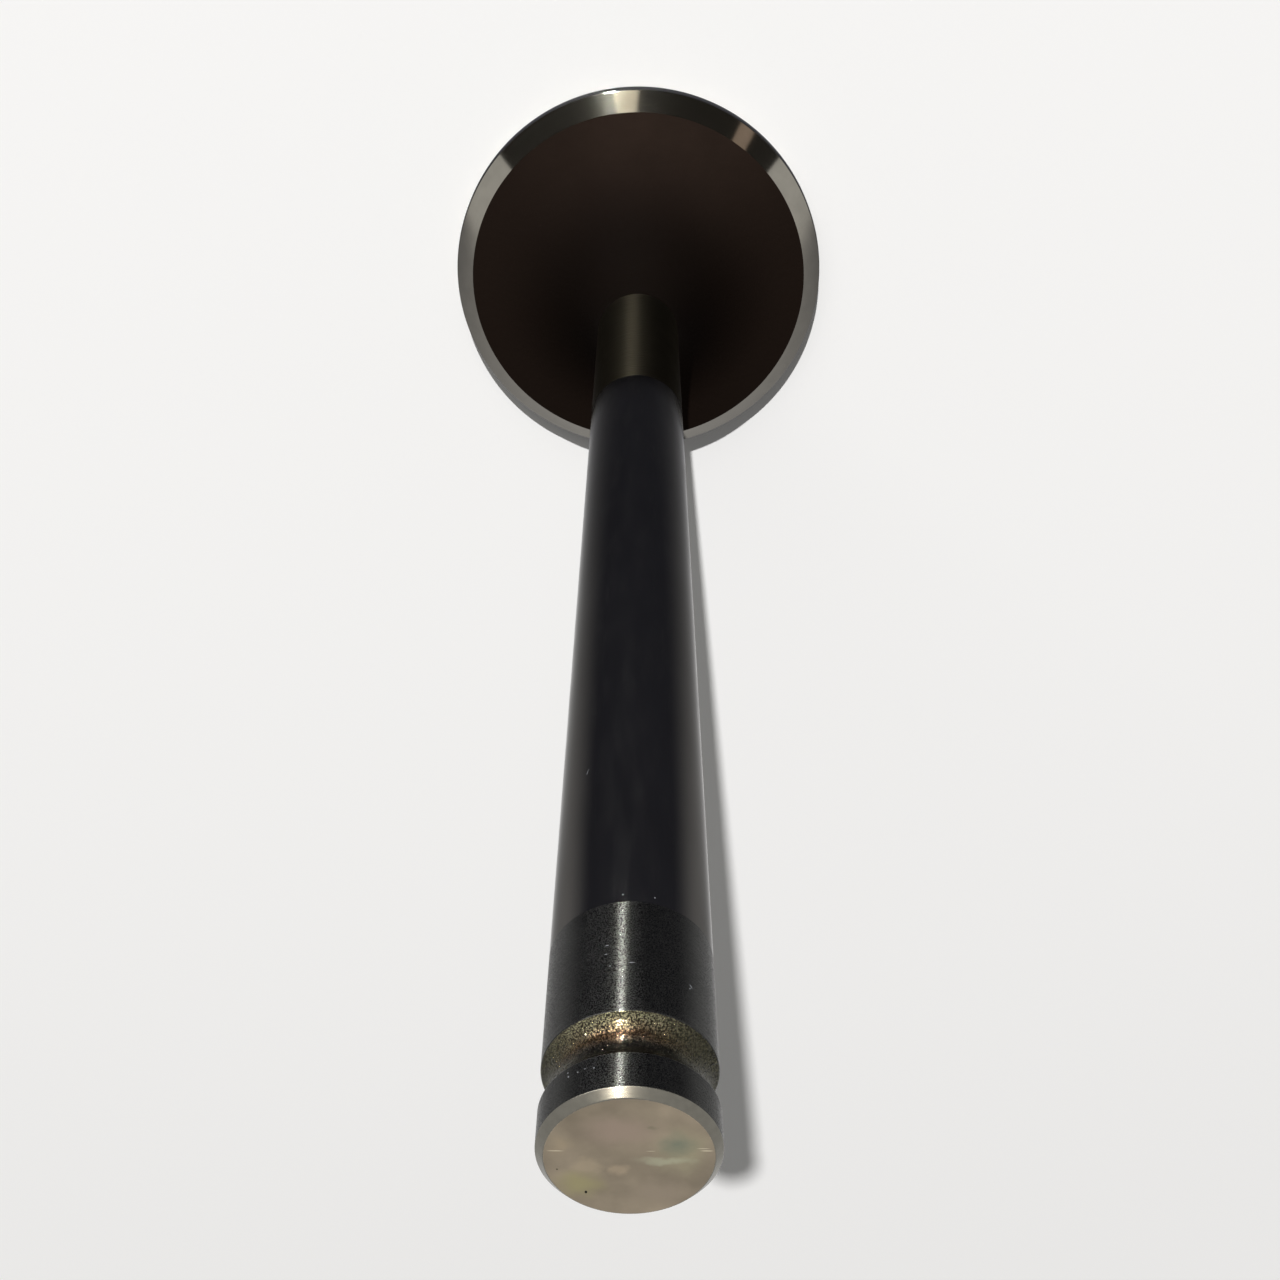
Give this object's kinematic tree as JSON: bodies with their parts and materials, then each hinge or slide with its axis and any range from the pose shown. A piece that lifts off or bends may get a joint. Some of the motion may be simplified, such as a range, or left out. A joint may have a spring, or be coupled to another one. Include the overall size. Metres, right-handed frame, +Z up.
{
  "type": "engine valve",
  "caption": "Poppet valve with a slender round stem, a bead keeper groove near its tip and a mushroom head with a conical seat, which opens and shuts an engine port.",
  "frame": {"origin": "centre of the flat combustion face, which the valve stands on", "axes": "+Z up the stem from the head to the tip; the valve is a body of revolution about Z"},
  "size_m": [0.04, 0.04, 0.119],
  "materials": {
    "valve_steel": "ground and plated stem, dark oxidised head underside"
  },
  "bodies": {
    "root": {"valve": "valve_steel"}
  },
  "joints": []
}
